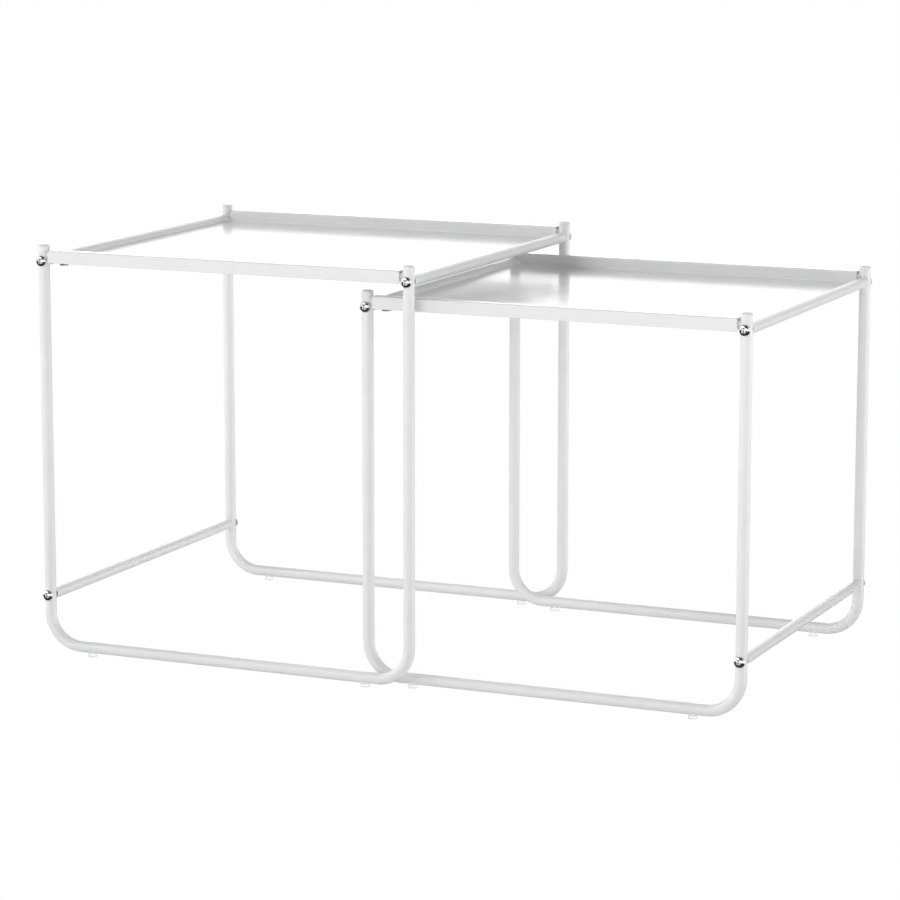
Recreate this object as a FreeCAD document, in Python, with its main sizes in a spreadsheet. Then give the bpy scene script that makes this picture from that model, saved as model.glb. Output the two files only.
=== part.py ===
import FreeCAD, Part
import math
import os
import Sketcher

# A pair of nesting tables in white powder-coated steel.
# Each table has two U-shaped bent-tube frames, one in front and one behind, each closed
# at the top by a thin crossbar. The frames are joined by a left and a right top rail and
# by one bottom stretcher. A folded sheet tray hooks over the crossbars and lies between
# the rails. The small table stands inside the large one and slides out to +X.
#
# Frame: origin on the floor under the centre of the pair, +X along the slide,
# +Y from the front frames to the rear frames, +Z up. Millimetres.

V = FreeCAD.Vector
doc = FreeCAD.newDocument("nesting_tables")

# ---------------------------------------------------------------- driving dimensions
D = {
    # bent tube of the four U frames
    "tube_od": 12.7,
    "tube_wall": 1.2,
    "bend_radius": 38.1,
    "leg_rise": 15.6,          # cut end of a leg above the rail's axis
    # straight tube of rails and stretchers
    "rail_od": 12.0,
    "rail_wall": 1.2,
    "stretcher_height": 67.8,  # axis above the floor
    # the two tables: leg axis to leg axis along X (span) and along Y (reach)
    "large_span": 450.0,
    "large_reach": 447.0,
    "large_rail_height": 452.0,
    "small_span": 433.3,
    "small_reach": 414.2,
    "small_rail_height": 420.5,
    "pull_out": 393.5,         # small table's left legs behind the large table's left legs
    # crossbars between the legs of one U frame, inside the tray's hems
    "bar_od": 9.5,
    "bar_wall": 1.0,
    "bar_rise": 6.2,           # crossbar's axis above the rail's axis
    # tray, measured from the rail's axis
    "sheet": 1.2,
    "floor_drop": 0.5,         # tray floor's upper face below the rail's axis
    "floor_gap": 6.05,         # floor's side edge from the rail's axis
    "floor_notch": 8.6,        # floor's corner notch round the leg, from the leg axis
    "floor_bend": 0.8,         # inside radius where the floor turns up into the hem
    "hem_outside": 6.8,        # hem's outer face outside the leg axis
    "hem_inside": 6.8,         # hem's inner face inside the leg axis
    "hem_rise": 12.2,
    "hem_drop": 1.9,
    "hem_end": 8.3,            # hem's cut end from the leg axis
    # weld studs, tabs and nuts under the tray's corners
    "stud_od": 6.0,
    "stud_inset": 10.7,        # from the rail's axis along X
    "stud_depth": 26.0,         # from the leg axis along Y
    "stud_length": 5.8,
    "tab_width": 13.0,
    "tab_thick": 1.5,
    "tab_tail": 4.9,
    "tab_nose": 7.5,
    "tab_corner": 2.5,
    "tab_hole": 6.3,
    "nut_flange_od": 9.8,
    "nut_flange": 0.5,
    "nut_across": 10.0,
    "nut_hex": 4.0,
    "nut_bore": 6.1,
    # leg caps
    "cap_height": 2.0,
    "cap_round": 1.9,
    "cap_stem_od": 10.2,
    "cap_stem": 10.0,
    # glides under the bottom runs
    "glide_drop": 4.2,         # tube's underside above the floor
    "glide_inset": 53.5,       # from the leg axis
    "glide_od": 10.0,
    "glide_round": 0.3,
    "glide_stem_od": 5.0,
    "glide_stem": 9.4,
    "glide_hole": 5.2,
    # cross-recess screws through the legs
    "screw_od": 6.0,
    "screw_hole": 6.4,
    "screw_length": 24.0,
    "head_od": 12.0,
    "head_height": 3.2,
    "head_edge": 0.7,
    "cross_span": 7.2,
    "cross_width": 1.5,
    "cross_depth": 1.9,
    # threaded inserts in the rail ends
    "insert_od": 9.5,
    "insert_bore": 6.1,
    "insert_length": 14.0,
}
sheet = doc.addObject("Spreadsheet::Sheet", "dims")
for row, (alias, value) in enumerate(D.items(), start=1):
    sheet.set("A%d" % row, alias)
    sheet.set("B%d" % row, "%g" % value)
    sheet.setAlias("B%d" % row, alias)
doc.recompute()


# ---------------------------------------------------------------- helpers
def new_body(label):
    body = doc.addObject("PartDesign::Body", label)
    body.Label = label
    return body


def origin_plane(body, role):
    for feature in body.Origin.OriginFeatures:
        if feature.Role == role:
            return feature
    raise RuntimeError("no plane " + role)


def new_sketch(body, name, role, height=None):
    """Sketch on an origin plane, lifted along the plane's normal by an expression."""
    sk = body.newObject("Sketcher::SketchObject", name)
    sk.AttachmentSupport = [(origin_plane(body, role), "")]
    sk.MapMode = "FlatFace"
    if height is not None:
        sk.setExpression("AttachmentOffset.Base.z", height)
    return sk


def pin_point(sk, geo, pos, x, y, ex, ey):
    """Fix one point of a sketch by two dimensions from the origin; None is on the axis."""
    if ex is None:
        sk.addConstraint(Sketcher.Constraint("PointOnObject", geo, pos, -2))
    else:
        i = sk.addConstraint(Sketcher.Constraint("DistanceX", -1, 1, geo, pos, x))
        sk.setExpression("Constraints[%d]" % i, ex)
    if ey is None:
        sk.addConstraint(Sketcher.Constraint("PointOnObject", geo, pos, -1))
    else:
        i = sk.addConstraint(Sketcher.Constraint("DistanceY", -1, 1, geo, pos, y))
        sk.setExpression("Constraints[%d]" % i, ey)


def polygon(sk, points):
    """Closed polygon; each point is (x, y, expression x, expression y)."""
    n = len(points)
    first = None
    for k in range(n):
        a, b = points[k], points[(k + 1) % n]
        g = sk.addGeometry(Part.LineSegment(V(a[0], a[1], 0), V(b[0], b[1], 0)), False)
        if first is None:
            first = g
        else:
            sk.addConstraint(Sketcher.Constraint("Coincident", g - 1, 2, g, 1))
    sk.addConstraint(Sketcher.Constraint("Coincident", first + n - 1, 2, first, 1))
    for k, p in enumerate(points):
        pin_point(sk, first + k, 1, p[0], p[1], p[2], p[3])


def circle(sk, x, y, r, ex, ey, er):
    g = sk.addGeometry(Part.Circle(V(x, y, 0), V(0, 0, 1), r), False)
    pin_point(sk, g, 3, x, y, ex, ey)
    i = sk.addConstraint(Sketcher.Constraint("Radius", g, r))
    sk.setExpression("Constraints[%d]" % i, er)
    return g


def pad(body, name, sk, length, midplane=False, reverse=False):
    feature = body.newObject("PartDesign::Pad", name)
    feature.Profile = sk
    feature.setExpression("Length", length)
    if midplane:
        feature.SideType = "Symmetric"
    feature.Reversed = reverse
    body.Tip = feature
    doc.recompute()
    return feature


def pocket(body, name, sk, length, midplane=False, reverse=False):
    before = body.Shape.Volume
    feature = body.newObject("PartDesign::Pocket", name)
    feature.Profile = sk
    feature.setExpression("Length", length)
    if midplane:
        feature.SideType = "Symmetric"
    feature.Reversed = reverse
    body.Tip = feature
    doc.recompute()
    if not body.Shape.Volume < before - 1e-3:
        raise RuntimeError("%s/%s removed nothing" % (body.Label, name))
    return feature


def edges_where(shape, test):
    names = []
    for k, edge in enumerate(shape.Edges, start=1):
        if test(edge):
            names.append("Edge%d" % k)
    return names


def fillet(body, name, base, names, radius):
    if not names:
        raise RuntimeError("%s/%s found no edges" % (body.Label, name))
    feature = body.newObject("PartDesign::Fillet", name)
    feature.Base = (base, names)
    feature.setExpression("Radius", radius)
    body.Tip = feature
    doc.recompute()
    return feature


def place(obj, x=None, y=None, z=None, rotation=None):
    """Placement whose position is bound to the sheet by expressions."""
    if rotation is not None:
        obj.Placement = FreeCAD.Placement(V(0, 0, 0), rotation)
    for axis, text in (("x", x), ("y", y), ("z", z)):
        if text is not None:
            obj.setExpression("Placement.Base." + axis, text)


def group(label, master, spots):
    """One node of identical pieces: a compound of placed links to one master body."""
    links = []
    for k, (x, y, z, rotation) in enumerate(spots, start=1):
        link = doc.addObject("App::Link", "%s_%d" % (label, k))
        link.LinkedObject = master
        link.LinkTransform = False
        place(link, x, y, z, rotation)
        links.append(link)
    comp = doc.addObject("Part::Compound", label)
    comp.Label = label
    comp.Links = links
    doc.recompute()
    return comp


CENTRE = {
    "large": "(dims.large_span - dims.small_span - dims.pull_out) / 2",
    "small": "dims.pull_out / 2",
}
nodes = []


# ---------------------------------------------------------------- U frames
def make_frame(table, side):
    """Bent tube: two legs, two bends and a bottom run, drilled for screws and glides."""
    span, top = D[table + "_span"], D[table + "_rail_height"] + D["leg_rise"]
    low = D["glide_drop"] + D["tube_od"] / 2
    r = D["bend_radius"]
    e_half = "dims.%s_span / 2" % table
    e_top = "dims.%s_rail_height + dims.leg_rise" % table
    e_low = "dims.glide_drop + dims.tube_od / 2"
    body = new_body("%s_%s_frame" % (table, side))

    path = new_sketch(body, "path", "XZ_Plane")
    s = span / 2
    path.addGeometry(Part.LineSegment(V(-s, top, 0), V(-s, low + r, 0)), False)
    path.addGeometry(Part.ArcOfCircle(Part.Circle(V(-s + r, low + r, 0), V(0, 0, 1), r), math.pi, 1.5 * math.pi), False)
    path.addGeometry(Part.LineSegment(V(-s + r, low, 0), V(s - r, low, 0)), False)
    path.addGeometry(Part.ArcOfCircle(Part.Circle(V(s - r, low + r, 0), V(0, 0, 1), r), 1.5 * math.pi, 2 * math.pi), False)
    path.addGeometry(Part.LineSegment(V(s, low + r, 0), V(s, top, 0)), False)
    con = path.addConstraint
    con(Sketcher.Constraint("Tangent", 0, 2, 1, 1))
    con(Sketcher.Constraint("Tangent", 1, 2, 2, 1))
    con(Sketcher.Constraint("Tangent", 2, 2, 3, 1))
    con(Sketcher.Constraint("Tangent", 3, 2, 4, 1))
    con(Sketcher.Constraint("Vertical", 0))
    con(Sketcher.Constraint("Horizontal", 2))
    con(Sketcher.Constraint("Vertical", 4))
    con(Sketcher.Constraint("Equal", 1, 3))
    i = con(Sketcher.Constraint("Radius", 1, r))
    path.setExpression("Constraints[%d]" % i, "dims.bend_radius")
    pin_point(path, 0, 1, -s, top, "-" + e_half, e_top)
    i = con(Sketcher.Constraint("DistanceX", 0, 1, 4, 2, span))
    path.setExpression("Constraints[%d]" % i, "dims.%s_span" % table)
    i = con(Sketcher.Constraint("DistanceY", -1, 1, 4, 2, top))
    path.setExpression("Constraints[%d]" % i, e_top)
    i = con(Sketcher.Constraint("DistanceY", -1, 1, 2, 1, low))
    path.setExpression("Constraints[%d]" % i, e_low)

    ring = new_sketch(body, "section", "XY_Plane", e_top)
    circle(ring, -s, 0, D["tube_od"] / 2, "-" + e_half, None, "dims.tube_od / 2")
    circle(ring, -s, 0, D["tube_od"] / 2 - D["tube_wall"], "-" + e_half, None, "dims.tube_od / 2 - dims.tube_wall")
    doc.recompute()
    pipe = body.newObject("PartDesign::AdditivePipe", "bent_tube")
    pipe.Profile = ring
    pipe.Spine = (path, ["Edge%d" % k for k in range(1, 6)])
    body.Tip = pipe
    doc.recompute()
    area = math.pi * ((D["tube_od"] / 2) ** 2 - (D["tube_od"] / 2 - D["tube_wall"]) ** 2)
    length = 2 * (top - low - r) + math.pi * r + span - 2 * r
    if abs(body.Shape.Volume / (area * length) - 1) > 0.002:
        raise RuntimeError("tube volume is wrong on " + body.Label)

    drill = new_sketch(body, "screw_holes", "XZ_Plane")
    for sign in ("-", ""):
        circle(drill, -s if sign else s, D[table + "_rail_height"], D["screw_hole"] / 2,
               sign + e_half, "dims.%s_rail_height" % table, "dims.screw_hole / 2")
    low_sign = "-" if table == "large" else ""
    circle(drill, -s if low_sign else s, D["stretcher_height"], D["screw_hole"] / 2,
           low_sign + e_half, "dims.stretcher_height", "dims.screw_hole / 2")
    pocket(body, "screw_drilling", drill, "dims.tube_od + 2", midplane=True)

    seats = new_sketch(body, "glide_holes", "XY_Plane", e_low)
    for sign in ("-", ""):
        half = s - D["glide_inset"]
        circle(seats, -half if sign else half, 0, D["glide_hole"] / 2,
               "%s(%s - dims.glide_inset)" % (sign, e_half), None, "dims.glide_hole / 2")
    pocket(body, "glide_drilling", seats, "dims.tube_od / 2 + 1")

    place(body, CENTRE[table], ("-" if side == "front" else "") + "dims.%s_reach / 2" % table)
    nodes.append(body)


# ---------------------------------------------------------------- rails and stretchers
def make_rail(label, table, side, height):
    """Straight tube along Y whose flat ends butt against the two legs."""
    body = new_body(label)
    ring = new_sketch(body, "section", "XZ_Plane")
    circle(ring, 0, 0, D["rail_od"] / 2, None, None, "dims.rail_od / 2")
    circle(ring, 0, 0, D["rail_od"] / 2 - D["rail_wall"], None, None, "dims.rail_od / 2 - dims.rail_wall")
    pad(body, "straight_tube", ring, "dims.%s_reach - dims.tube_od" % table, midplane=True)
    sign = "-" if side == "left" else "+"
    place(body, "%s %s dims.%s_span / 2" % (CENTRE[table], sign, table), None, height)
    nodes.append(body)


# ---------------------------------------------------------------- crossbars
def make_crossbar(table, side):
    """Thin tube along X between the two legs of one frame, its ends coped to the legs."""
    body = new_body("%s_%s_crossbar" % (table, side))
    e_half = "dims.%s_span / 2" % table
    half = D[table + "_span"] / 2
    ring = new_sketch(body, "section", "YZ_Plane")
    circle(ring, 0, 0, D["bar_od"] / 2, None, None, "dims.bar_od / 2")
    circle(ring, 0, 0, D["bar_od"] / 2 - D["bar_wall"], None, None, "dims.bar_od / 2 - dims.bar_wall")
    pad(body, "straight_tube", ring, "dims.%s_span" % table, midplane=True)
    cope = new_sketch(body, "leg_outlines", "XY_Plane")
    for sign in ("-", ""):
        circle(cope, -half if sign else half, 0, D["tube_od"] / 2, sign + e_half, None, "dims.tube_od / 2")
    pocket(body, "coped_ends", cope, "dims.bar_od + 4", midplane=True)
    place(body, CENTRE[table], ("-" if side == "front" else "") + "dims.%s_reach / 2" % table,
          "dims.%s_rail_height + dims.bar_rise" % table)
    nodes.append(body)


# ---------------------------------------------------------------- trays
def make_tray(table):
    """Folded sheet: a floor with a box hem in front and behind, and four weld studs."""
    reach, rail = D[table + "_reach"], D[table + "_rail_height"]
    t = D["sheet"]
    e_reach = "dims.%s_reach / 2" % table
    e_rail = "dims.%s_rail_height" % table
    yi, yo = reach / 2 - D["hem_inside"], reach / 2 + D["hem_outside"]
    zt, zh = rail + D["hem_rise"], rail - D["hem_drop"]
    z1 = rail - D["floor_drop"]
    z0 = z1 - t
    e_yi, e_yo = e_reach + " - dims.hem_inside", e_reach + " + dims.hem_outside"
    e_zt, e_zh = e_rail + " + dims.hem_rise", e_rail + " - dims.hem_drop"
    e_z1 = e_rail + " - dims.floor_drop"
    e_z0 = e_z1 + " - dims.sheet"
    half = [
        (yi + t, z0, e_yi + " + dims.sheet", e_z0),
        (yi + t, zt - t, e_yi + " + dims.sheet", e_zt + " - dims.sheet"),
        (yo - t, zt - t, e_yo + " - dims.sheet", e_zt + " - dims.sheet"),
        (yo - t, zh, e_yo + " - dims.sheet", e_zh),
        (yo, zh, e_yo, e_zh),
        (yo, zt, e_yo, e_zt),
        (yi, zt, e_yi, e_zt),
        (yi, z1, e_yi, e_z1),
    ]
    other = [(-p[0], p[1], "-(" + p[2] + ")", p[3]) for p in reversed(half)]
    body = new_body(table + "_tray")
    fold = new_sketch(body, "folded_section", "YZ_Plane")
    polygon(fold, half + other)
    folded = pad(body, "folded_sheet", fold, "dims.%s_span - 2 * dims.hem_end" % table, midplane=True)

    def along_x(edge, y, z):
        a, b = edge.Vertexes[0].Point, edge.Vertexes[-1].Point
        return (abs(a.y - b.y) < 1e-4 and abs(a.z - b.z) < 1e-4 and abs(a.x - b.x) > 50
                and abs(abs(a.y) - y) < 1e-3 and abs(a.z - z) < 1e-3)

    # bend radii: outside of the hem's top, then the floor's inside bends
    names = edges_where(folded.Shape, lambda e: along_x(e, yo, zt) or along_x(e, yi, zt))
    top = fillet(body, "hem_bends", folded, names, "dims.sheet + 0.4")
    names = edges_where(top.Shape, lambda e: along_x(e, yo - t, zt - t) or along_x(e, yi + t, zt - t))
    inner = fillet(body, "hem_inner_bends", top, names, "0.4")
    names = edges_where(inner.Shape, lambda e: along_x(e, yi, z1))
    bends = fillet(body, "floor_bends", inner, names, "dims.floor_bend")
    names = edges_where(bends.Shape, lambda e: along_x(e, yi + t, z0))
    fillet(body, "floor_outer_bends", bends, names, "dims.floor_bend + dims.sheet")

    # floor reaches out to the rails between the legs
    span = D[table + "_span"]
    fx, fy = span / 2 - D["floor_gap"], reach / 2 - D["floor_notch"]
    e_fx = "dims.%s_span / 2 - dims.floor_gap" % table
    e_fy = e_reach + " - dims.floor_notch"
    wide = new_sketch(body, "floor_outline", "XY_Plane", e_z0)
    polygon(wide, [(-fx, -fy, "-(%s)" % e_fx, "-(%s)" % e_fy), (fx, -fy, e_fx, "-(%s)" % e_fy),
                   (fx, fy, e_fx, e_fy), (-fx, fy, "-(%s)" % e_fx, e_fy)])
    pad(body, "floor_to_rails", wide, "dims.sheet")

    # weld studs under the corners
    sx, sy = span / 2 - D["stud_inset"], reach / 2 - D["stud_depth"]
    e_sx = "(dims.%s_span / 2 - dims.stud_inset)" % table
    e_sy = "(%s - dims.stud_depth)" % e_reach
    studs = new_sketch(body, "stud_circles", "XY_Plane", e_z0)
    for a in (-1, 1):
        for b in (-1, 1):
            circle(studs, a * sx, b * sy, D["stud_od"] / 2, ("-" if a < 0 else "") + e_sx,
                   ("-" if b < 0 else "") + e_sy, "dims.stud_od / 2")
    pad(body, "weld_studs", studs, "dims.stud_length", reverse=True)
    place(body, CENTRE[table])
    nodes.append(body)


# ---------------------------------------------------------------- small pieces, one master each
def revolve(body, sk, axis_ref):
    feature = body.newObject("PartDesign::Revolution", "turned_form")
    feature.Profile = sk
    feature.ReferenceAxis = (sk, [axis_ref])
    feature.Angle = 360
    body.Tip = feature
    doc.recompute()
    return feature


def make_screw():
    """Pan-head screw along Z: head above z = 0, shank below, cross recess in the head."""
    body = new_body("frame_screw")
    ro, h, e, rs, ls = D["head_od"] / 2, D["head_height"], D["head_edge"], D["screw_od"] / 2, D["screw_length"]
    sk = new_sketch(body, "profile", "XZ_Plane")
    polygon(sk, [
        (0, -ls, None, "-dims.screw_length"),
        (rs - 0.8, -ls, "dims.screw_od / 2 - 0.8", "-dims.screw_length"),
        (rs, -ls + 0.8, "dims.screw_od / 2", "-dims.screw_length + 0.8"),
        (rs, 0, "dims.screw_od / 2", None),
        (ro, 0, "dims.head_od / 2", None),
        (ro, e, "dims.head_od / 2", "dims.head_edge"),
        (ro * 0.80, h * 0.80, "dims.head_od / 2 * 0.80", "dims.head_height * 0.80"),
        (ro * 0.50, h * 0.955, "dims.head_od / 2 * 0.50", "dims.head_height * 0.955"),
        (0, h, None, "dims.head_height"),
    ])
    turned = revolve(body, sk, "V_Axis")

    def ring_at(edge, radius, z):
        if not hasattr(edge.Curve, "Radius"):
            return False
        return abs(edge.Curve.Radius - radius) < 1e-3 and abs(edge.Vertexes[0].Point.z - z) < 1e-3

    names = edges_where(turned.Shape, lambda g: ring_at(g, ro, e) or ring_at(g, ro * 0.80, h * 0.80))
    fillet(body, "head_round", turned, names, "dims.head_edge * 1.3")
    cross = new_sketch(body, "cross_recess", "XY_Plane", "dims.head_height")
    a, b = D["cross_span"] / 2, D["cross_width"] / 2
    ea, eb = "dims.cross_span / 2", "dims.cross_width / 2"
    ring = [(a, -b), (a, b), (b, b), (b, a), (-b, a), (-b, b), (-a, b), (-a, -b), (-b, -b), (-b, -a), (b, -a), (b, -b)]
    text = {a: ea, b: eb, -a: "-" + ea, -b: "-" + eb}
    polygon(cross, [(x, y, text[x], text[y]) for x, y in ring])
    cut = pocket(body, "driver_cross", cross, "dims.cross_depth")
    cut.TaperAngle = -14
    doc.recompute()
    return body


def make_cap():
    """Push-in leg cap: rounded head above z = 0, stem below."""
    body = new_body("leg_cap")
    ro, h, rs, ls = D["tube_od"] / 2, D["cap_height"], D["cap_stem_od"] / 2, D["cap_stem"]
    sk = new_sketch(body, "profile", "XZ_Plane")
    polygon(sk, [
        (0, -ls, None, "-dims.cap_stem"),
        (rs - 1, -ls, "dims.cap_stem_od / 2 - 1", "-dims.cap_stem"),
        (rs, -ls + 1.5, "dims.cap_stem_od / 2", "-dims.cap_stem + 1.5"),
        (rs, 0, "dims.cap_stem_od / 2", None),
        (ro, 0, "dims.tube_od / 2", None),
        (ro, h, "dims.tube_od / 2", "dims.cap_height"),
        (0, h, None, "dims.cap_height"),
    ])
    turned = revolve(body, sk, "V_Axis")
    names = edges_where(turned.Shape, lambda g: hasattr(g.Curve, "Radius")
                        and abs(g.Curve.Radius - ro) < 1e-3 and abs(g.Vertexes[0].Point.z - h) < 1e-3)
    fillet(body, "cap_edge", turned, names, "dims.cap_round")
    return body


def make_glide():
    """Push-in glide: rounded foot on the floor, stem up into the tube's underside."""
    body = new_body("glide")
    ro, h, rs, ls = D["glide_od"] / 2, D["glide_drop"], D["glide_stem_od"] / 2, D["glide_stem"]
    sk = new_sketch(body, "profile", "XZ_Plane")
    polygon(sk, [
        (0, 0, None, None),
        (ro, 0, "dims.glide_od / 2", None),
        (ro, h - 1, "dims.glide_od / 2", "dims.glide_drop - 1"),
        (ro - 1, h, "dims.glide_od / 2 - 1", "dims.glide_drop"),
        (rs, h, "dims.glide_stem_od / 2", "dims.glide_drop"),
        (rs, ls - 0.8, "dims.glide_stem_od / 2", "dims.glide_stem - 0.8"),
        (rs - 0.8, ls, "dims.glide_stem_od / 2 - 0.8", "dims.glide_stem"),
        (0, ls, None, "dims.glide_stem"),
    ])
    turned = revolve(body, sk, "V_Axis")
    names = edges_where(turned.Shape, lambda g: hasattr(g.Curve, "Radius")
                        and abs(g.Curve.Radius - ro) < 1e-3 and abs(g.Vertexes[0].Point.z) < 1e-3)
    fillet(body, "glide_edge", turned, names, "dims.glide_round")
    return body


def make_insert():
    """Threaded insert along Z, flush with a rail's end at z = 0 and inside the rail below."""
    body = new_body("rail_insert")
    sk = new_sketch(body, "section", "XY_Plane")
    circle(sk, 0, 0, D["insert_od"] / 2, None, None, "dims.insert_od / 2")
    circle(sk, 0, 0, D["insert_bore"] / 2, None, None, "dims.insert_bore / 2")
    pad(body, "sleeve", sk, "dims.insert_length", reverse=True)
    return body


def make_tab():
    """Tab welded to a rail at -X, drilled for the tray's stud on the Z axis; top at z = 0."""
    body = new_body("tray_tab")
    w, a, b = D["tab_width"] / 2, D["tab_tail"], D["tab_nose"]
    sk = new_sketch(body, "outline", "XY_Plane")
    polygon(sk, [(-a, -w, "-dims.tab_tail", "-dims.tab_width / 2"), (b, -w, "dims.tab_nose", "-dims.tab_width / 2"),
                 (b, w, "dims.tab_nose", "dims.tab_width / 2"), (-a, w, "-dims.tab_tail", "dims.tab_width / 2")])
    circle(sk, 0, 0, D["tab_hole"] / 2, None, None, "dims.tab_hole / 2")
    p = pad(body, "plate", sk, "dims.tab_thick", reverse=True)
    names = edges_where(p.Shape, lambda g: len(g.Vertexes) == 2
                        and all(abs(v.Point.x - b) < 1e-3 and abs(abs(v.Point.y) - w) < 1e-3 for v in g.Vertexes)
                        and abs(g.Vertexes[0].Point.z - g.Vertexes[1].Point.z) > 0.5)
    fillet(body, "corners", p, names, "dims.tab_corner")
    return body


def make_nut():
    """Hexagon nut on the stud: its washer face up at z = 0, the hexagon below."""
    body = new_body("stud_nut")
    sk = new_sketch(body, "flange_circle", "XY_Plane")
    circle(sk, 0, 0, D["nut_flange_od"] / 2, None, None, "dims.nut_flange_od / 2")
    circle(sk, 0, 0, D["nut_bore"] / 2, None, None, "dims.nut_bore / 2")
    pad(body, "flange", sk, "dims.nut_flange", reverse=True)
    hx = new_sketch(body, "hexagon", "XY_Plane", "-dims.nut_flange")
    r = D["nut_across"] / math.sqrt(3)
    er = "dims.nut_across / sqrt(3)"
    pts = []
    for k in range(6):
        c, s = math.cos(math.pi / 3 * k), math.sin(math.pi / 3 * k)
        pts.append((r * c, r * s, "%s * %.10f" % (er, c), None if k in (0, 3) else "%s * %.10f" % (er, s)))
    polygon(hx, pts)
    circle(hx, 0, 0, D["nut_bore"] / 2, None, None, "dims.nut_bore / 2")
    pad(body, "hex", hx, "dims.nut_hex", reverse=True)
    return body


for table in ("large", "small"):
    make_frame(table, "front")
    make_frame(table, "rear")
    make_crossbar(table, "front")
    make_crossbar(table, "rear")
    make_rail(table + "_left_rail", table, "left", "dims.%s_rail_height" % table)
    make_rail(table + "_right_rail", table, "right", "dims.%s_rail_height" % table)
    make_tray(table)
make_rail("large_left_stretcher", "large", "left", "dims.stretcher_height")
make_rail("small_right_stretcher", "small", "right", "dims.stretcher_height")

screw, cap, glide = make_screw(), make_cap(), make_glide()
insert, tab, nut = make_insert(), make_tab(), make_nut()

TO_FRONT = FreeCAD.Rotation(V(1, 0, 0), 90)     # local +Z to -Y
TO_REAR = FreeCAD.Rotation(V(1, 0, 0), -90)     # local +Z to +Y
HALF_TURN = FreeCAD.Rotation(V(0, 0, 1), 180)
STAY = FreeCAD.Rotation()

for table in ("large", "small"):
    mid = CENTRE[table]
    half = "dims.%s_span / 2" % table
    deep = "dims.%s_reach / 2" % table
    rail = "dims.%s_rail_height" % table
    left, right = "%s - %s" % (mid, half), "%s + %s" % (mid, half)
    low_x = left if table == "large" else right
    ends = [(left, rail), (right, rail), (low_x, "dims.stretcher_height")]
    nodes.append(group(table + "_frame_screws", screw,
                       [(x, "-(%s + dims.tube_od / 2)" % deep, z, TO_FRONT) for x, z in ends]
                       + [(x, "%s + dims.tube_od / 2" % deep, z, TO_REAR) for x, z in ends]))
    nodes.append(group(table + "_rail_inserts", insert,
                       [(x, "-(%s - dims.tube_od / 2)" % deep, z, TO_FRONT) for x, z in ends]
                       + [(x, "%s - dims.tube_od / 2" % deep, z, TO_REAR) for x, z in ends]))
    nodes.append(group(table + "_leg_caps", cap,
                       [(x, y, "%s + dims.leg_rise" % rail, STAY) for x in (left, right) for y in ("-" + deep, deep)]))
    nodes.append(group(table + "_glides", glide,
                       [(x, y, None, STAY) for x in (left + " + dims.glide_inset", right + " - dims.glide_inset")
                        for y in ("-" + deep, deep)]))
    e_stud = "(%s - dims.stud_depth)" % deep
    under = "%s - dims.floor_drop - dims.sheet" % rail
    corners = [(x, y, turn) for x, turn in ((left + " + dims.stud_inset", STAY), (right + " - dims.stud_inset", HALF_TURN))
               for y in ("-" + e_stud, e_stud)]
    nodes.append(group(table + "_tray_tabs", tab, [(x, y, under, turn) for x, y, turn in corners]))
    nodes.append(group(table + "_tray_nuts", nut, [(x, y, under + " - dims.tab_thick", turn) for x, y, turn in corners]))

doc.recompute()

# ---------------------------------------------------------------- checks, then the files
for obj in doc.Objects:
    for state in obj.State:
        if state in ("Invalid", "Error"):
            raise RuntimeError("%s is %s" % (obj.Label, state))
for node in nodes:
    shape = node.Shape
    if shape.isNull() or not shape.isValid() or not shape.Solids:
        raise RuntimeError("bad shape: " + node.Label)
os.makedirs("parts", exist_ok=True)
total = Part.makeCompound([n.Shape for n in nodes]).BoundBox
for node in nodes:
    box = node.Shape.BoundBox
    print("%-24s solids %d  volume %9.1f  x %8.2f %8.2f  y %8.2f %8.2f  z %7.2f %7.2f" % (
        node.Label, len(node.Shape.Solids), node.Shape.Volume, box.XMin, box.XMax, box.YMin, box.YMax, box.ZMin, box.ZMax))
    node.Shape.exportStep("parts/%s.step" % node.Label)
print("whole  x %.2f %.2f  y %.2f %.2f  z %.2f %.2f" % (total.XMin, total.XMax, total.YMin, total.YMax, total.ZMin, total.ZMax))
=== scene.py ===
"""Nesting tables: finished meshes, finishes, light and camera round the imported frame."""
import math

import bmesh
import bpy
from mathutils import Matrix, Vector


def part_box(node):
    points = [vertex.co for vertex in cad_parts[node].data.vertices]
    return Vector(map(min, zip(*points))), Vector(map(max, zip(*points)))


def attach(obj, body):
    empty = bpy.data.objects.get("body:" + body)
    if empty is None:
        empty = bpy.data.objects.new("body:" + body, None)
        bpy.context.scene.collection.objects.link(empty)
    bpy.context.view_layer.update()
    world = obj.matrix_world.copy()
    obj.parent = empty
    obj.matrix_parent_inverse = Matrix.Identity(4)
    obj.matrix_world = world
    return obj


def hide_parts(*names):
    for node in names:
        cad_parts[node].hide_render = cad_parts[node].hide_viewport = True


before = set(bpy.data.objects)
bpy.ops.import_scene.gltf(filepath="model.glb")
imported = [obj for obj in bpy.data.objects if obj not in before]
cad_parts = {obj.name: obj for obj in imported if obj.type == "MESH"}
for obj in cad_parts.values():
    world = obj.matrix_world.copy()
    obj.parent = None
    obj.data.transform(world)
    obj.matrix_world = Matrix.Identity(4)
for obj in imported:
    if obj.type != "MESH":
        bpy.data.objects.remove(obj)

scene = bpy.context.scene
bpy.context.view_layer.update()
MM = 0.001
PI = math.pi

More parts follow.
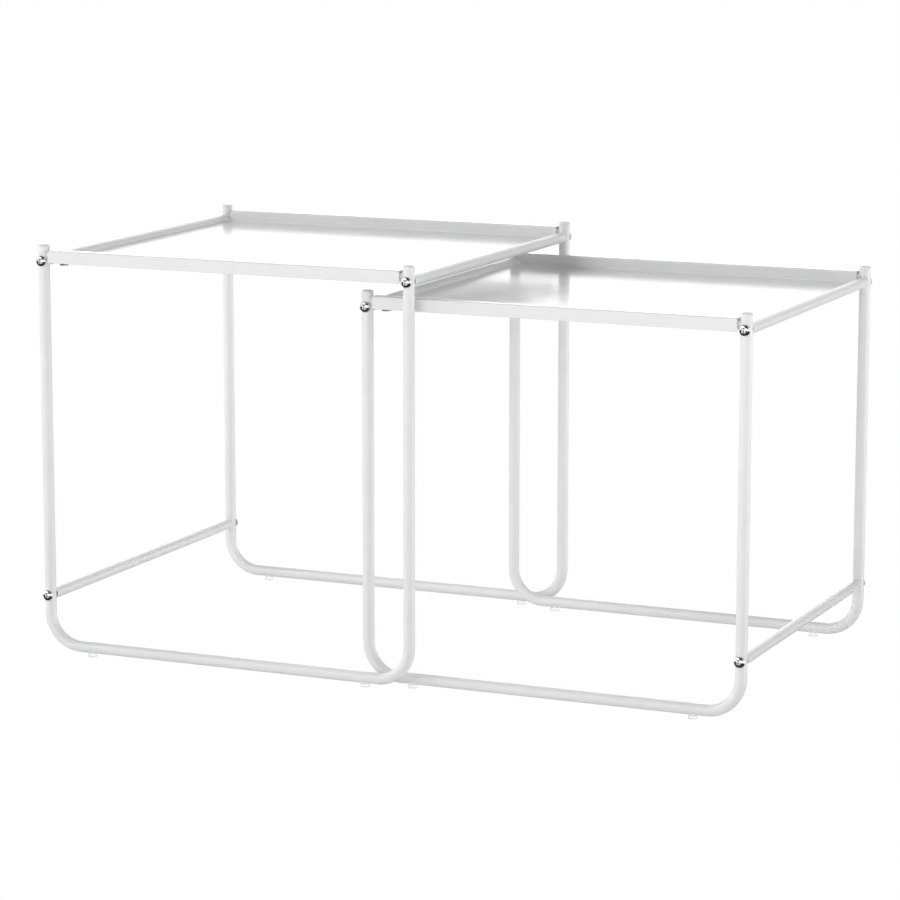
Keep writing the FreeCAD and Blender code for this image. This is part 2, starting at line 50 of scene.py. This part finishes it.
# ---------------------------------------------------------------- sizes in mm, as in the CAD source
TUBE, TUBE_IN, BEND = 6.35, 5.15, 38.1
RAIL, RAIL_IN = 6.0, 4.8
BAR, BAR_IN, BAR_RISE = 4.75, 3.75, 6.2
LEG_RISE, GLIDE_DROP, GLIDE_INSET = 15.6, 4.2, 53.5
SHEET, FLOOR_DROP, FLOOR_GAP, FLOOR_NOTCH, FLOOR_BEND = 1.2, 0.5, 6.05, 8.6, 0.8
HEM_OUT, HEM_IN, HEM_RISE, HEM_DROP, HEM_END = 6.8, 6.8, 12.2, 1.9, 8.3
STUD_INSET, STUD_DEPTH, STUD_LENGTH, STUD = 10.7, 26.0, 5.8, 3.0
HEAD, HEAD_HEIGHT, SHANK, SHANK_LENGTH = 6.0, 3.2, 3.0, 24.0
CAP_ROUND = 1.9


def middle(node):
    lo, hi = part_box(node)
    return [round((lo[i] + hi[i]) * 500, 1) for i in range(3)]


class Table:
    """Where one table's axes are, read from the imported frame."""

    def __init__(self, name, low_rail):
        left, right = middle(name + "_left_rail"), middle(name + "_right_rail")
        self.name, self.left, self.right, self.rail = name, left[0], right[0], left[2]
        self.mid, self.span = (self.left + self.right) / 2, self.right - self.left
        self.front, self.rear = middle(name + "_front_frame")[1], middle(name + "_rear_frame")[1]
        self.reach = self.rear - self.front
        low = middle(name + low_rail)
        self.low_node, self.low_x, self.low_z = name + low_rail, low[0], low[2]
        self.top = self.rail + LEG_RISE
        self.body = name + "_table"


TABLES = [Table("large", "_left_stretcher"), Table("small", "_right_stretcher")]


# ---------------------------------------------------------------- mesh making
def lathe(profile, n=64, closed=False):
    """Turns (radius, height) pairs about Z."""
    v, f, rows = [], [], []
    for r, h in profile:
        if r < 1e-6:
            rows.append([len(v)] * n)
            v.append((0.0, 0.0, h))
        else:
            rows.append([len(v) + k for k in range(n)])
            v += [(r * math.cos(2 * PI * k / n), r * math.sin(2 * PI * k / n), h) for k in range(n)]
    pairs = list(zip(rows, rows[1:])) + ([(rows[-1], rows[0])] if closed else [])
    for a, b in pairs:
        for k in range(n):
            q = [a[k], a[(k + 1) % n], b[(k + 1) % n], b[k]]
            q = [x for i, x in enumerate(q) if x != q[i - 1]]
            if len(q) > 2:
                f.append(q)
    return v, f


def skin(rows):
    """Closed surface through rows of points; the last row joins the first."""
    n = len(rows[0])
    v = [p for row in rows for p in row]
    f = []
    for i in range(len(rows)):
        a, b = i * n, ((i + 1) % len(rows)) * n
        f += [(a + k, a + (k + 1) % n, b + (k + 1) % n, b + k) for k in range(n)]
    return v, f


def moved(shape, matrix):
    v, f = shape
    return [tuple(matrix @ Vector(p)) for p in v], f


def joined(shapes):
    v, f = [], []
    for sv, sf in shapes:
        base = len(v)
        v += sv
        f += [[i + base for i in q] for q in sf]
    return v, f


def piece(name, shape, body, slot, replaces=(), sharp=38, bevel=None):
    """One finished object from a shape in millimetres."""
    me = bpy.data.meshes.new(name)
    v, f = shape
    me.from_pydata([(x * MM, y * MM, z * MM) for x, y, z in v], [], f)
    bm = bmesh.new()
    bm.from_mesh(me)
    bmesh.ops.recalc_face_normals(bm, faces=bm.faces)
    for face in bm.faces:
        face.smooth = True
    bm.to_mesh(me)
    bm.free()
    me.set_sharp_from_angle(angle=math.radians(sharp))
    ob = bpy.data.objects.new(name, me)
    scene.collection.objects.link(ob)
    if bevel:
        m = ob.modifiers.new("edge_round", "BEVEL")
        m.width, m.segments, m.limit_method = bevel * MM, 2, "ANGLE"
        m.angle_limit = math.radians(50)
        m.harden_normals = True
    me.materials.append(MATERIALS[slot])
    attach(ob, body)
    if replaces:
        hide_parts(*replaces)
    return ob


def between(a, b, n=30):
    """Evenly spaced values inside a span, its ends left out."""
    return [a + (b - a) * k / n for k in range(1, n)]


def u_tube(xa, xb, y, ztop, zaxis, n=64, m=22):
    """Bent tube: down the left leg, round the two bends, up the right leg, and back inside."""
    path = [(xa, ztop, -1.0, 0.0)] + [(xa, z, -1.0, 0.0) for z in between(ztop, zaxis + BEND)]
    for k in range(m + 1):
        a = PI + PI / 2 * k / m
        path.append((xa + BEND + BEND * math.cos(a), zaxis + BEND + BEND * math.sin(a), math.cos(a), math.sin(a)))
    path += [(x, zaxis, 0.0, -1.0) for x in between(xa + BEND, xb - BEND)]
    for k in range(m + 1):
        a = 1.5 * PI + PI / 2 * k / m
        path.append((xb - BEND + BEND * math.cos(a), zaxis + BEND + BEND * math.sin(a), math.cos(a), math.sin(a)))
    path += [(xb, z, 1.0, 0.0) for z in between(zaxis + BEND, ztop)] + [(xb, ztop, 1.0, 0.0)]
    first, last = path[0], path[-1]
    rows = [(first[0], ztop, -1.0, 0.0, TUBE - 0.12), (first[0], ztop - 0.12, -1.0, 0.0, TUBE)]
    rows += [p + (TUBE,) for p in path[1:-1]]
    rows += [(last[0], ztop - 0.12, 1.0, 0.0, TUBE), (last[0], ztop, 1.0, 0.0, TUBE - 0.12)]
    rows += [(last[0], ztop, 1.0, 0.0, TUBE_IN + 0.2), (last[0], ztop - 0.2, 1.0, 0.0, TUBE_IN)]
    rows += [p + (TUBE_IN,) for p in reversed(path[1:-1])]
    rows += [(first[0], ztop - 0.2, -1.0, 0.0, TUBE_IN), (first[0], ztop, -1.0, 0.0, TUBE_IN + 0.2)]
    return skin([[(px + r * math.cos(2 * PI * k / n) * nx, y + r * math.sin(2 * PI * k / n),
                   pz + r * math.cos(2 * PI * k / n) * nz) for k in range(n)] for px, pz, nx, nz, r in rows])


def rail_tube(x, z, ya, yb, n=64):
    """Straight tube along Y with broken end edges."""
    e = 0.25
    ys = [ya + e] + between(ya + e, yb - e) + [yb - e]
    prof = [(RAIL - e, ya)] + [(RAIL, y) for y in ys] + [(RAIL - e, yb), (RAIL_IN + e, yb)]
    prof += [(RAIL_IN, y) for y in reversed(ys)] + [(RAIL_IN + e, ya)]
    turn = Matrix.Translation((x, 0, z)) @ Matrix.Rotation(-PI / 2, 4, "X")
    return moved(lathe(prof, n, closed=True), turn)


def coped_bar(xa, xb, y, z, n=64):
    """Crossbar whose ends are cut to the legs' round, with a small weld bead at each end."""
    def saddle(x, sign, r):
        row = []
        for k in range(n):
            a = 2 * PI * k / n
            dy = r * math.cos(a)
            row.append((x + sign * math.sqrt(TUBE * TUBE - dy * dy), y + dy, z + r * math.sin(a)))
        return row

    bar = skin([saddle(xa, 1, BAR), saddle(xb, -1, BAR), saddle(xb, -1, BAR_IN), saddle(xa, 1, BAR_IN)])
    beads = []
    for x, sign in ((xa, 1), (xb, -1)):
        line, rows, w = saddle(x, sign, BAR), [], 0.75
        for k in range(n):
            a = 2 * PI * k / n
            out = Vector((0, math.cos(a), math.sin(a)))
            rows.append([tuple(Vector(line[k]) + w * (math.cos(b) * out + math.sin(b) * Vector((sign, 0, 0))))
                         for b in (2 * PI * j / 10 for j in range(10))])
        beads.append(skin(rows))
    return joined([bar] + beads)


def arc(cy, cz, ra, rb, a0, a1, n):
    """Stations round a bend: the visible side at radius ra, the other at rb."""
    out = []
    for k in range(n + 1):
        a = math.radians(a0 + (a1 - a0) * k / n)
        out.append((cy + ra * math.cos(a), cz + ra * math.sin(a), cy + rb * math.cos(a), cz + rb * math.sin(a)))
    return out


def folded_tray(t):
    """Sheet with a box hem in front and behind, and a floor that reaches to the rails between them."""
    half = t.reach / 2
    yo, yi = half + HEM_OUT, half - HEM_IN
    zt, zh, z1 = t.rail + HEM_RISE, t.rail - HEM_DROP, t.rail - FLOOR_DROP
    z0 = z1 - SHEET
    side = [(yo, zh, yo - SHEET, zh)]
    side += arc(yo - 1.6, zt - 1.6, 1.6, 0.4, 0, 90, 8)
    side += arc(yi + 1.6, zt - 1.6, 1.6, 0.4, 90, 180, 8)
    side += arc(yi - FLOOR_BEND, z1 + FLOOR_BEND, FLOOR_BEND, FLOOR_BEND + SHEET, 0, -90, 8)
    fy = half - FLOOR_NOTCH
    floor = [(fy * (1 - 2 * k / 10), z1, fy * (1 - 2 * k / 10), z0) for k in range(11)]
    path = side + floor + [(-a, b, -c, d) for a, b, c, d in reversed(side)]
    wide = [len(side) <= k < len(side) + 11 for k in range(len(path))]
    xh, fx = t.span / 2 - HEM_END, t.span / 2 - FLOOR_GAP
    xs = [-fx] + [xh * (-1 + 2 * k / 10) for k in range(11)] + [fx]
    used, v, f = {}, [], []

    def vert(i, k, under):
        if (i, k, under) not in used:
            used[i, k, under] = len(v)
            p = path[k]
            v.append((t.mid + xs[i], t_y + (p[2] if under else p[0]), p[3] if under else p[1]))
        return used[i, k, under]

    t_y = (t.front + t.rear) / 2
    cells = [(i, k) for i in range(len(xs) - 1) for k in range(len(path) - 1)
             if 0 < i < len(xs) - 2 or (wide[k] and wide[k + 1])]
    have = set(cells)
    for i, k in cells:
        f.append([vert(i, k, 0), vert(i + 1, k, 0), vert(i + 1, k + 1, 0), vert(i, k + 1, 0)])
        f.append([vert(i, k, 1), vert(i, k + 1, 1), vert(i + 1, k + 1, 1), vert(i + 1, k, 1)])
        for other, (a, b) in (((i, k - 1), ((i, k), (i + 1, k))), ((i, k + 1), ((i, k + 1), (i + 1, k + 1))),
                              ((i - 1, k), ((i, k), (i, k + 1))), ((i + 1, k), ((i + 1, k), (i + 1, k + 1)))):
            if other not in have:
                f.append([vert(*a, 0), vert(*b, 0), vert(*b, 1), vert(*a, 1)])
    return v, f


def weld_stud(x, y, z):
    c = 0.4
    return moved(lathe([(0, 0.1), (STUD, 0.1), (STUD, -STUD_LENGTH + c), (STUD - c, -STUD_LENGTH), (0, -STUD_LENGTH)], 32),
                 Matrix.Translation((x, y, z)))


def carved(shape, cutter):
    """The shape with the cutter taken away, both in millimetres."""
    made = []
    for v, f in (shape, cutter):
        me = bpy.data.meshes.new("work")
        me.from_pydata(v, [], f)
        bm = bmesh.new()
        bm.from_mesh(me)
        bmesh.ops.recalc_face_normals(bm, faces=bm.faces)
        bm.to_mesh(me)
        bm.free()
        ob = bpy.data.objects.new("work", me)
        scene.collection.objects.link(ob)
        made.append(ob)
    cut = made[0].modifiers.new("cut", "BOOLEAN")
    cut.object, cut.operation, cut.solver = made[1], "DIFFERENCE", "EXACT"
    bpy.context.view_layer.update()
    done = bpy.data.meshes.new_from_object(made[0].evaluated_get(bpy.context.evaluated_depsgraph_get()))
    out = ([tuple(p.co) for p in done.vertices], [list(p.vertices) for p in done.polygons])
    meshes = [ob.data for ob in made] + [done]
    for ob in made:
        bpy.data.objects.remove(ob)
    for me in meshes:
        bpy.data.meshes.remove(me)
    return out


def screw_shape():
    """Pan head with a tapered cross recess, and the shank; along Z, seat at zero."""
    n = 96
    head = [(SHANK, 0.0), (HEAD - 0.25, 0.0), (HEAD, 0.25), (HEAD, 0.6)]
    head += [(r, 0.6 + 2.6 * (1 - (r / HEAD) ** 3.5) ** 0.6)
             for r in (5.97, 5.9, 5.78, 5.6, 5.35, 5.05, 4.7, 4.3, 3.8, 3.2, 2.5, 1.7, 0.9)] + [(0, HEAD_HEIGHT)]
    shank = [(0, -SHANK_LENGTH), (SHANK - 0.8, -SHANK_LENGTH), (SHANK, -SHANK_LENGTH + 0.8)]
    def plus(z):
        shrink = (HEAD_HEIGHT - z) * math.tan(math.radians(14))
        a, b, c = 3.6 - shrink, 0.75 - shrink, 0.45
        quarter = [(a, -b), (a, b), (b + c, b), (b, b + c)]
        out = []
        for k in range(4):
            s, co = (0, 1, 0, -1)[k], (1, 0, -1, 0)[k]
            out += [(x * co - y * s, x * s + y * co, z) for x, y in quarter]
        return out

    levels = [plus(z) for z in (4.4, HEAD_HEIGHT - 1.9)]
    cv = levels[0] + levels[1]
    cf = [list(range(16)), list(reversed(range(16, 32)))] + [[k, 16 + k, 16 + (k + 1) % 16, (k + 1) % 16] for k in range(16)]
    return carved(lathe(shank + head, n), (cv, cf))


def cap_shape():
    prof = [(0, -10), (4.1, -10), (5.1, -8.5), (5.1, 0.0), (TUBE - 0.1, 0.0)]
    prof += [(TUBE - CAP_ROUND + CAP_ROUND * math.cos(a), 0.1 + CAP_ROUND * math.sin(a)) for a in (PI / 2 * k / 14 for k in range(15))]
    return lathe(prof + [(0, 2.0)], 64)


def glide_shape():
    prof = [(0, 0)] + [(4.7 + 0.3 * math.sin(a), 0.3 - 0.3 * math.cos(a)) for a in (PI / 2 * k / 6 for k in range(7))]
    prof += [(5.0, 3.2), (4.86, 3.6), (4.5, 3.95), (4.0, GLIDE_DROP), (2.5, GLIDE_DROP), (2.5, 8.6), (1.7, 9.4), (0, 9.4)]
    return lathe(prof, 56)


# ---------------------------------------------------------------- materials
class Nodes:
    """Small helper for building one node tree."""

    def __init__(self, tree):
        self.tree = tree
        tree.nodes.clear()

    def add(self, kind, **values):
        node = self.tree.nodes.new(kind)
        for k, val in values.items():
            if k.startswith("in_"):
                node.inputs[k[3:].replace("_", " ")].default_value = val
            else:
                setattr(node, k, val)
        return node

    def link(self, a, b):
        self.tree.links.new(a, b)

    def maths(self, op, a, b=None, c=None, clamp=False):
        node = self.add("ShaderNodeMath", operation=op, use_clamp=clamp)
        for i, x in enumerate((a, b, c)):
            if x is None:
                continue
            if isinstance(x, (int, float)):
                node.inputs[i].default_value = x
            else:
                self.link(x, node.inputs[i])
        return node.outputs[0]

    def ramp(self, x, lo, hi, out_lo, out_hi, kind="LINEAR"):
        node = self.add("ShaderNodeMapRange", interpolation_type=kind)
        self.link(x, node.inputs["Value"])
        for name, val in (("From Min", lo), ("From Max", hi), ("To Min", out_lo), ("To Max", out_hi)):
            node.inputs[name].default_value = val
        return node.outputs["Result"]

    def noise(self, where, scale, detail=2.0, rough=0.5, stretch=None):
        node = self.add("ShaderNodeTexNoise", in_Scale=scale, in_Detail=detail, in_Roughness=rough)
        if stretch:
            m = self.add("ShaderNodeMapping")
            m.inputs["Scale"].default_value = stretch
            self.link(where, m.inputs["Vector"])
            where = m.outputs["Vector"]
        self.link(where, node.inputs["Vector"])
        return node.outputs["Fac"]


def surface(name):
    mat = bpy.data.materials.new(name)
    mat.use_nodes = True
    n = Nodes(mat.node_tree)
    out = n.add("ShaderNodeOutputMaterial")
    bsdf = n.add("ShaderNodeBsdfPrincipled")
    n.link(bsdf.outputs["BSDF"], out.inputs["Surface"])
    where = n.add("ShaderNodeTexCoord").outputs["Object"]
    return mat, n, bsdf, where


def tint(n, factor, dark, light, target):
    mix = n.add("ShaderNodeMix", data_type="RGBA")
    mix.inputs["A"].default_value = (*dark, 1)
    mix.inputs["B"].default_value = (*light, 1)
    n.link(factor, mix.inputs["Factor"])
    n.link(mix.outputs["Result"], target)


def bump(n, height, strength, distance, bsdf, previous=None):
    node = n.add("ShaderNodeBump", in_Strength=strength, in_Distance=distance)
    n.link(height, node.inputs["Height"])
    if previous:
        n.link(previous, node.inputs["Normal"])
    n.link(node.outputs["Normal"], bsdf.inputs["Normal"])
    return node.outputs["Normal"]


def powder(name, dark, light, rough, peel, ior=1.5):
    """Powder coat: faint cloudiness, orange-peel waves and fine grain."""
    mat, n, bsdf, where = surface(name)
    cloud = n.noise(where, 26.0, 3.0, 0.55)
    speck = n.noise(where, 2100.0, 2.0, 0.6)
    mixed = n.maths("ADD", n.maths("MULTIPLY", cloud, 0.8), n.maths("MULTIPLY", speck, 0.2))
    tint(n, n.ramp(mixed, 0.36, 0.64, 0, 1), dark, light, bsdf.inputs["Base Color"])
    wave = n.noise(where, 620.0, 1.0, 0.4)
    n.link(n.ramp(n.maths("ADD", n.maths("MULTIPLY", cloud, 0.5), n.maths("MULTIPLY", speck, 0.5)),
                  0.3, 0.7, rough - 0.04, rough + 0.05), bsdf.inputs["Roughness"])
    first = bump(n, wave, peel, 0.00006, bsdf)
    bump(n, speck, peel * 0.5, 0.000012, bsdf, first)
    bsdf.inputs["IOR"].default_value = ior
    return mat


def plated(name, dark, light, rough, scratch, grain):
    """Plated steel with faint clouding and fine handling marks; bright for the screws, darkened for the zinc parts as
    painted shade.
    """
    mat, n, bsdf, where = surface(name)
    bsdf.inputs["Metallic"].default_value = 1.0
    cloud = n.noise(where, 380.0, 3.0, 0.55)
    marks = n.noise(where, 900.0, 3.0, 0.65, stretch=(1.0, 6.0, 0.35))
    tint(n, n.ramp(cloud, 0.35, 0.65, 0, 1), dark, light, bsdf.inputs["Base Color"])
    n.link(n.ramp(marks, 0.35, 0.7, rough, rough + scratch), bsdf.inputs["Roughness"])
    bump(n, marks, grain, 0.00001, bsdf)
    return mat


def moulded(name, dark, light, rough, grain, soft=0.0):
    """Moulded plastic: fine spark-eroded texture and slight flow clouding."""
    mat, n, bsdf, where = surface(name)
    cloud = n.noise(where, 160.0, 2.0, 0.5)
    fine = n.noise(where, 2600.0, 2.0, 0.6)
    tint(n, n.ramp(cloud, 0.35, 0.65, 0, 1), dark, light, bsdf.inputs["Base Color"])
    n.link(n.ramp(fine, 0.3, 0.7, rough - 0.05, rough + 0.07), bsdf.inputs["Roughness"])
    bump(n, fine, grain, 0.00003, bsdf)
    bsdf.inputs["IOR"].default_value = 1.49
    if soft:
        bsdf.inputs["Subsurface Weight"].default_value = soft
        bsdf.inputs["Subsurface Radius"].default_value = (1.0, 1.0, 1.0)
        bsdf.inputs["Subsurface Scale"].default_value = 0.001
    return mat


def clear_plastic(name):
    """Clear moulded plastic with a little haze."""
    mat, n, bsdf, where = surface(name)
    cloud = n.noise(where, 420.0, 2.0, 0.5)
    tint(n, n.ramp(cloud, 0.35, 0.65, 0, 1), (0.95, 0.965, 0.965), (0.985, 0.99, 0.99), bsdf.inputs["Base Color"])
    n.link(n.ramp(cloud, 0.3, 0.7, 0.03, 0.12), bsdf.inputs["Roughness"])
    bump(n, n.noise(where, 1500.0, 2.0, 0.5), 0.15, 0.00002, bsdf)
    bsdf.inputs["Transmission Weight"].default_value = 1.0
    bsdf.inputs["IOR"].default_value = 1.42
    return mat


MATERIALS = {
    "white_powder_coat": powder("white_powder_coat", (0.785, 0.785, 0.788), (0.815, 0.815, 0.817), 0.30, 0.06),
    "tray_powder_coat": powder("tray_powder_coat", (0.765, 0.765, 0.768), (0.79, 0.79, 0.792), 0.16, 0.05),
    "polished_screw": plated("polished_screw", (0.57, 0.57, 0.58), (0.63, 0.63, 0.64), 0.03, 0.05, 0.08),
    # zinc base colour far darker than real zinc: painted shade for the studs and nuts in the tray's shadow
    "zinc_steel": plated("zinc_steel", (0.17, 0.172, 0.178), (0.24, 0.243, 0.25), 0.24, 0.16, 0.25),
    "cap_plastic": moulded("cap_plastic", (0.79, 0.79, 0.79), (0.82, 0.82, 0.82), 0.62, 0.18, soft=0.05),
    "glide_plastic": clear_plastic("glide_plastic"),
}

# ---------------------------------------------------------------- pieces
SCREW, CAP, GLIDE = screw_shape(), cap_shape(), glide_shape()
TO_FRONT, TO_REAR = Matrix.Rotation(PI / 2, 4, "X"), Matrix.Rotation(-PI / 2, 4, "X")

for t in TABLES:
    axis = GLIDE_DROP + TUBE
    for side, y in (("front", t.front), ("rear", t.rear)):
        node = "%s_%s_frame" % (t.name, side)
        spots = [(t.left, t.rail), (t.right, t.rail), (t.low_x, t.low_z)]
        drills = [moved(lathe([(0, -9), (3.2, -9), (3.2, 9), (0, 9)], 40), Matrix.Translation((x, y, z)) @ TO_FRONT)
                  for x, z in spots]
        drills += [moved(lathe([(0, -9), (2.6, -9), (2.6, -2), (0, -2)], 40), Matrix.Translation((x, y, axis)))
                   for x in (t.left + GLIDE_INSET, t.right - GLIDE_INSET)]
        tube = carved(u_tube(t.left, t.right, y, t.top, axis), joined(drills))
        piece(node + "_tube", tube, t.body, "white_powder_coat", [node])
        node = "%s_%s_crossbar" % (t.name, side)
        piece(node + "_tube", coped_bar(t.left, t.right, y, t.rail + BAR_RISE), t.body, "white_powder_coat", [node])
    for node, x, z in ((t.name + "_left_rail", t.left, t.rail), (t.name + "_right_rail", t.right, t.rail),
                       (t.low_node, t.low_x, t.low_z)):
        piece(node + "_tube", rail_tube(x, z, t.front + TUBE, t.rear - TUBE), t.body, "white_powder_coat", [node])
    studs = [weld_stud(x, y, t.rail - FLOOR_DROP - SHEET) for x in (t.left + STUD_INSET, t.right - STUD_INSET)
             for y in (t.front + STUD_DEPTH, t.rear - STUD_DEPTH)]
    piece(t.name + "_folded_tray", joined([folded_tray(t)]), t.body, "tray_powder_coat", [t.name + "_tray"], bevel=0.45)
    # weld studs take the darkened zinc: painted shade under the tray
    piece(t.name + "_weld_studs", joined(studs), t.body, "zinc_steel")
    ends = [(t.left, t.rail), (t.right, t.rail), (t.low_x, t.low_z)]
    heads = [moved(SCREW, Matrix.Translation((x, t.front - TUBE, z)) @ TO_FRONT) for x, z in ends]
    heads += [moved(SCREW, Matrix.Translation((x, t.rear + TUBE, z)) @ TO_REAR) for x, z in ends]
    piece(t.name + "_pan_head_screws", joined(heads), t.body, "polished_screw", [t.name + "_frame_screws"], sharp=30)
    caps = [moved(CAP, Matrix.Translation((x, y, t.top))) for x in (t.left, t.right) for y in (t.front, t.rear)]
    piece(t.name + "_push_in_caps", joined(caps), t.body, "cap_plastic", [t.name + "_leg_caps"])
    feet = [moved(GLIDE, Matrix.Translation((x, y, 0))) for x in (t.left + GLIDE_INSET, t.right - GLIDE_INSET)
            for y in (t.front, t.rear)]
    piece(t.name + "_clear_glides", joined(feet), t.body, "glide_plastic", [t.name + "_glides"])

# CAD nodes that stay: tabs, nuts and inserts take their finish and a broken edge; the nuts and inserts take the
# darkened zinc, painted shade under the tray
for t in TABLES:
    for suffix, slot, width in (("_tray_tabs", "white_powder_coat", 0.2), ("_tray_nuts", "zinc_steel", 0.15),
                                ("_rail_inserts", "zinc_steel", 0.15)):
        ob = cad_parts[t.name + suffix]
        ob.data.materials.clear()
        ob.data.materials.append(MATERIALS[slot])
        m = ob.modifiers.new("edge_round", "BEVEL")
        m.width, m.segments, m.limit_method = width * MM, 2, "ANGLE"
        m.angle_limit = math.radians(50)

# ---------------------------------------------------------------- studio
def seen_directly(n):
    """1 where a ray from the eye or through clear plastic arrives, else 0."""
    path = n.add("ShaderNodeLightPath")
    return n.maths("MAXIMUM", path.outputs["Is Camera Ray"], path.outputs["Is Transmission Ray"])


floor_mesh = bpy.data.meshes.new("studio_floor")
bm = bmesh.new()
ring = [bm.verts.new((150 * math.cos(2 * PI * k / 96), 150 * math.sin(2 * PI * k / 96), 0)) for k in range(96)]
bm.faces.new(ring)
bm.to_mesh(floor_mesh)
bm.free()
floor = bpy.data.objects.new("studio_floor", floor_mesh)
scene.collection.objects.link(floor)
floor.visible_glossy = False             # polished parts mirror the soft boxes below it instead
mat = bpy.data.materials.new("studio_white")
mat.use_nodes = True
n = Nodes(mat.node_tree)
out = n.add("ShaderNodeOutputMaterial")
mix = n.add("ShaderNodeMixShader")
paper = n.add("ShaderNodeAddShader")
matt = n.add("ShaderNodeBsdfDiffuse")
matt.inputs["Color"].default_value = (0.55, 0.55, 0.55, 1)
# glow seen only by bounced light, dimmer near the middle under the tables: a painted shadow of the tables on the floor
floor_glow_painted_shade = n.add("ShaderNodeEmission")
reach = n.add("ShaderNodeVectorMath", operation="LENGTH")
n.link(n.add("ShaderNodeTexCoord").outputs["Object"], reach.inputs[0])
n.link(n.ramp(reach.outputs["Value"], 0.45, 1.1, 0.36, 0.72, "SMOOTHSTEP"), floor_glow_painted_shade.inputs["Strength"])
n.link(matt.outputs["BSDF"], paper.inputs[0])
n.link(floor_glow_painted_shade.outputs["Emission"], paper.inputs[1])
white = n.add("ShaderNodeEmission")
white.inputs["Strength"].default_value = 1.0
# from the eye and through clear plastic the floor is evenly white; light bouncing onto the parts meets the grey paper
# and its glow with the painted shadow
n.link(seen_directly(n), mix.inputs["Fac"])
n.link(paper.outputs["Shader"], mix.inputs[1])
n.link(white.outputs["Emission"], mix.inputs[2])
n.link(mix.outputs["Shader"], out.inputs["Surface"])
floor_mesh.materials.append(mat)

world = bpy.data.worlds.new("studio")
scene.world = world
world.use_nodes = True
n = Nodes(world.node_tree)
xyz = n.add("ShaderNodeSeparateXYZ")
n.link(n.add("ShaderNodeTexCoord").outputs["Generated"], xyz.inputs[0])
azimuth = n.maths("MULTIPLY", n.maths("ARCTAN2", xyz.outputs["X"], n.maths("MULTIPLY", xyz.outputs["Y"], -1.0)), 180 / PI)
height = n.maths("MULTIPLY", n.maths("ARCSINE", xyz.outputs["Z"]), 180 / PI)

# soft boxes: azimuth, half width, edge, elevation, half height, edge, radiance (degrees)
BASE = 0.06
BOXES = [
    (-49, 28, 16, 7, 8, 10, 0.85),       # low, left of the camera
    (-85, 16, 14, 8, 8, 9, 1.85),       # low, left side
    (-60, 34, 20, 33, 9, 12, 3.60),      # raised, left of the camera
    (14, 18, 12, 1, 7, 9, 3.00),         # low, near the camera
    (80, 22, 14, 8, 9, 10, 1.90),        # low, right side
    (92, 26, 18, 34, 10, 12, 1.40),      # raised, right side
    (-165, 16, 14, 13, 16, 10, 2.60),    # wall of light behind
    (128, 16, 12, 6, 10, 11, 2.80),      # low, behind on the right
    (-25, 11, 8, -11, 7, 6, 1.65),       # under the floor line, front left: only mirrored
    (98, 24, 14, -9, 7, 6, 1.80),        # under the floor line, right: only mirrored
]
total = None
for az, wide, soft, el, tall, fade, power in BOXES:
    d = n.maths("ABSOLUTE", n.maths("WRAP", n.maths("SUBTRACT", azimuth, float(az)), 180.0, -180.0))
    e = n.maths("ABSOLUTE", n.maths("SUBTRACT", height, float(el)))
    m = n.maths("MULTIPLY", n.ramp(d, wide, wide + soft, 1, 0, "SMOOTHSTEP"), n.ramp(e, tall, tall + fade, 1, 0, "SMOOTHSTEP"))
    part = n.maths("MULTIPLY", m, float(power))
    total = part if total is None else n.maths("ADD", total, part)
total = n.maths("ADD", total, BASE)
direct = seen_directly(n)
strength = n.maths("ADD", n.maths("MULTIPLY", direct, 1.0), n.maths("MULTIPLY", n.maths("SUBTRACT", 1.0, direct), total))
back = n.add("ShaderNodeBackground")
n.link(strength, back.inputs["Strength"])
n.link(back.outputs["Background"], n.add("ShaderNodeOutputWorld").inputs["Surface"])

# ---------------------------------------------------------------- camera and colour
camera = bpy.data.cameras.new("camera")
camera.sensor_width, camera.lens = 36.0, 138.8208
camera.clip_start, camera.clip_end = 0.05, 400.0
eye = bpy.data.objects.new("camera", camera)
scene.collection.objects.link(eye)
right, up, ahead = (0.915123, 0.403175, 0.000611), (-0.072752, 0.163642, 0.983834), (-0.396557, 0.900373, -0.179084)
eye.matrix_world = Matrix((
    (right[0], up[0], -ahead[0], 1.56578),
    (right[1], up[1], -ahead[1], -3.58555),
    (right[2], up[2], -ahead[2], 0.94109),
    (0, 0, 0, 1)))
scene.camera = eye
scene.view_settings.view_transform = "Standard"
scene.view_settings.look = "None"
scene.view_settings.exposure = 0.0
scene.view_settings.gamma = 1.0
